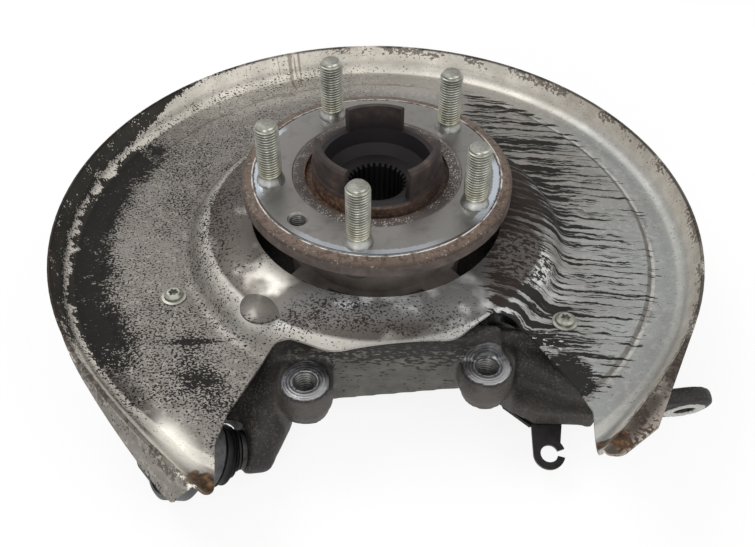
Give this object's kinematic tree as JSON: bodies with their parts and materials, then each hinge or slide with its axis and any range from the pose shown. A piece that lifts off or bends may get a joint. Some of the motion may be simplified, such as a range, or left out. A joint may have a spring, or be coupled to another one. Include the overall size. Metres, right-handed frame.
{
  "type": "steering knuckle with hub bearing, splash shield and ball joint",
  "caption": "Steering knuckle: cast wheel carrier with a turning hub flange on a ball bearing, pressed brake splash shield, caliper ears, ball joint and link eye.",
  "frame": {"origin": "centre of the wheel mounting face, on the wheel axis", "axes": "+Z along the wheel axis, outboard; -Y towards the brake caliper; -X towards the lower ball joint"},
  "size_m": [0.3398, 0.3365, 0.1353],
  "materials": {
    "cast_iron_knuckle": "as cast, weathered",
    "galvanised_sheet": "galvanised, dull, rusty edge",
    "screw_steel": "zinc plated",
    "hub_steel": "machined face, rusted rim",
    "stud_zinc": "zinc plated",
    "bearing_steel": "ground",
    "cage_plastic": "moulded",
    "seal_rubber": "moulded",
    "bolt_steel": "phosphated",
    "joint_steel": "dip coated, worn",
    "boot_rubber": "moulded",
    "seat_plastic": "moulded",
    "bracket_black": "electrocoated"
  },
  "bodies": {
    "knuckle": {"knuckle_casting": "cast_iron_knuckle", "splash_shield": "galvanised_sheet", "shield_screws": "screw_steel", "bearing_outer_ring": "bearing_steel", "outboard_bearing_seal": "seal_rubber", "inboard_bearing_seal": "seal_rubber", "bearing_bolts": "bolt_steel", "ball_joint_stud": "bearing_steel", "boot_small_clip": "bolt_steel", "ball_pin_clamp_bolt": "bolt_steel", "cable_bracket": "bracket_black", "bracket_bolt": "bolt_steel"},
    "hub": {"wheel_hub": "hub_steel", "wheel_studs": "stud_zinc", "bearing_inner_ring": "bearing_steel", "speed_encoder_ring": "seal_rubber"},
    "outboard_ball_set": {"outboard_bearing_balls": "bearing_steel", "outboard_ball_cage": "cage_plastic"},
    "inboard_ball_set": {"inboard_bearing_balls": "bearing_steel", "inboard_ball_cage": "cage_plastic"},
    "ball_joint_cup": {"ball_joint_seat": "seat_plastic"},
    "ball_joint": {"ball_joint_housing": "joint_steel", "ball_joint_cap": "joint_steel", "ball_joint_boot": "boot_rubber", "boot_large_clip": "bolt_steel"}
  },
  "joints": [
    {"name": "hub_spin", "type": "hinge", "parent": "knuckle", "child": "hub", "pos_m": [0, 0, -0.04], "axis": [0, 0, 1], "continuous": true},
    {"name": "outboard_balls_spin", "type": "hinge", "parent": "knuckle", "child": "outboard_ball_set", "pos_m": [0, 0, -0.03], "axis": [0, 0, 1], "continuous": true},
    {"name": "inboard_balls_spin", "type": "hinge", "parent": "knuckle", "child": "inboard_ball_set", "pos_m": [0, 0, -0.052], "axis": [0, 0, 1], "continuous": true},
    {"name": "ball_joint_tilt", "type": "hinge", "parent": "knuckle", "child": "ball_joint_cup", "pos_m": [-0.084, -0.1218, -0.075], "axis": [-0.342, 0.9397, 0], "range_deg": [-40, 10], "deforming": ["ball_joint_boot"]},
    {"name": "ball_joint_swivel", "type": "hinge", "parent": "ball_joint_cup", "child": "ball_joint", "pos_m": [-0.084, -0.1218, -0.075], "axis": [-0.7881, -0.2868, 0.5446], "range_deg": [-20, 35]}
  ],
  "couplings": [
    {"joint": "outboard_balls_spin", "follows": "hub_spin", "ratio": 0.4281},
    {"joint": "inboard_balls_spin", "follows": "hub_spin", "ratio": 0.4281}
  ]
}
